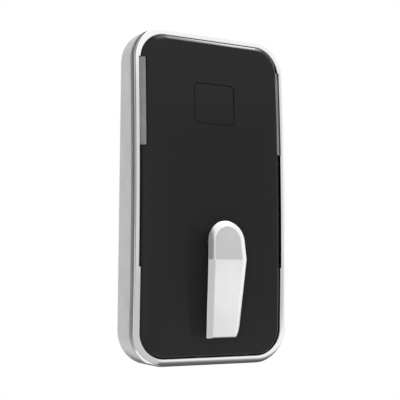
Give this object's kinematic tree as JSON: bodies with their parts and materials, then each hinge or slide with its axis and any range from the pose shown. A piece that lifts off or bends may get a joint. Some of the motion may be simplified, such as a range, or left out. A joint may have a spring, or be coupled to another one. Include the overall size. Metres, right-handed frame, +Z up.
{
  "type": "fingerprint lock terminal",
  "caption": "Slim upright lock terminal with a silver tray housing, chrome bezel, glossy black panel with a fingerprint window, side light bars and a turn lever.",
  "frame": {"origin": "centre of the flat back face that lies on the door", "axes": "+Z up along the terminal, +Y out of the back towards the door, +X to the right as seen from the front"},
  "size_m": [0.068, 0.0264, 0.13],
  "materials": {
    "silver_housing": "satin silver",
    "chrome_bezel": "polished",
    "lever_metal": "satin",
    "panel_black": "high gloss",
    "window_black": "coated, high gloss",
    "light_bar": "frosted",
    "dark_plastic": "fine texture",
    "board": "solder mask",
    "chip": "moulded",
    "white_plastic": "moulded",
    "ribbon": "film",
    "cell_wrap": "printed sleeve without text",
    "steel": "plated",
    "brass": "turned"
  },
  "bodies": {
    "terminal_body": {"rear_housing": "silver_housing", "bezel_ring": "chrome_bezel", "front_panel": "panel_black", "sensor_window": "window_black", "sensor_module": "dark_plastic", "sensor_ribbon": "ribbon", "light_bar_left": "light_bar", "light_bar_right": "light_bar", "main_board": "board", "mcu_chip": "chip", "memory_chip": "chip", "ribbon_socket": "white_plastic", "cell_socket": "white_plastic", "motor_socket": "white_plastic", "buzzer": "chip", "status_led_upper_left": "white_plastic", "status_led_lower_left": "white_plastic", "status_led_upper_right": "white_plastic", "status_led_lower_right": "white_plastic", "board_screw_upper_left": "steel", "board_screw_upper_right": "steel", "board_screw_lower_left": "steel", "board_screw_lower_right": "steel", "housing_screw_upper_left": "steel", "housing_screw_upper_right": "steel", "housing_screw_lower_left": "steel", "housing_screw_lower_right": "steel", "mounting_insert_upper": "brass", "mounting_insert_lower": "brass", "battery_cell_upper": "cell_wrap", "battery_cell_lower": "cell_wrap", "cell_contact_left": "steel", "cell_contact_right": "steel", "battery_door": "dark_plastic", "battery_door_screw": "steel", "lever_bush": "dark_plastic", "lock_motor": "steel", "motor_clip": "steel", "clip_screw_upper": "steel", "clip_screw_lower": "steel"},
    "lever_body": {"turn_lever": "lever_metal", "spindle": "steel", "lock_disc": "steel", "disc_grub_screw": "steel"},
    "bolt_body": {"lock_bolt": "steel"},
    "lock_screw_body": {"lock_screw": "steel"}
  },
  "joints": [
    {"name": "lever_turn", "type": "hinge", "parent": "terminal_body", "child": "lever_body", "pos_m": [0, -0.016, -0.0175], "axis": [0, 1, 0], "range_deg": [0, 90]},
    {"name": "lock_screw_turn", "type": "hinge", "parent": "terminal_body", "child": "lock_screw_body", "pos_m": [0.0222, -0.0068, -0.0175], "axis": [1, 0, 0], "continuous": true},
    {"name": "bolt_slide", "type": "slide", "parent": "terminal_body", "child": "bolt_body", "axis": [-1, 0, 0], "range_m": [0, 0.0022]}
  ],
  "couplings": [
    {"joint": "lock_screw_turn", "follows": "bolt_slide", "rad_per_m": 2855.9}
  ]
}
